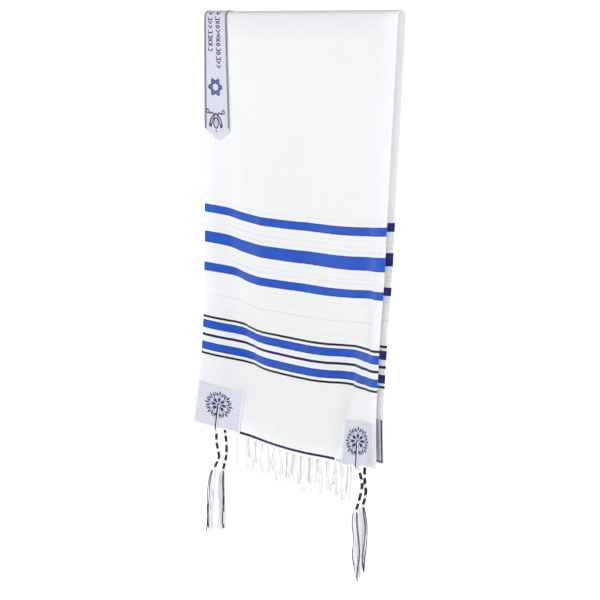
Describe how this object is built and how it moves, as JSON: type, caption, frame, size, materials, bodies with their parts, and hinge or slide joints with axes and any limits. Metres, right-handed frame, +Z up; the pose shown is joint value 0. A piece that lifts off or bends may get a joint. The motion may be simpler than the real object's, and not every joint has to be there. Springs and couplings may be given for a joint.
{
  "type": "tallit prayer shawl",
  "caption": "Striped prayer shawl hung at mid-length over a rail space, with neck band, eyeleted corner patches, hem fringes and wound, knotted corner tassels.",
  "frame": {"origin": "middle of the crown's underside, where a rail carries the cloth", "axes": "+Z up, X along the rail with the neck edge at -X, and the front panel facing -Y"},
  "size_m": [0.61, 0.0971, 1.15],
  "materials": {
    "wool_cloth": "soft white wool weave with blue and black stripes",
    "neck_band": "smooth lavender-white woven band with a faint sheen",
    "corner_label": "lavender-white woven label with a navy medallion",
    "corner_facing": "plain matt woven facing",
    "fringe_yarn": "loosely twisted off-white yarn",
    "tassel_string": "white string with black windings"
  },
  "bodies": {
    "root": {"shawl": "wool_cloth", "atarah": "neck_band", "corner_patch_front_left": "corner_label", "corner_patch_front_right": "corner_label", "corner_patch_back_left": "corner_label", "corner_patch_back_right": "corner_label", "corner_facing_front_left": "corner_facing", "corner_facing_front_right": "corner_facing", "corner_facing_back_left": "corner_facing", "corner_facing_back_right": "corner_facing", "fringe_front": "fringe_yarn", "fringe_back": "fringe_yarn", "tzitzit_front_left": "tassel_string", "tzitzit_front_right": "tassel_string", "tzitzit_back_left": "tassel_string", "tzitzit_back_right": "tassel_string"}
  },
  "joints": []
}
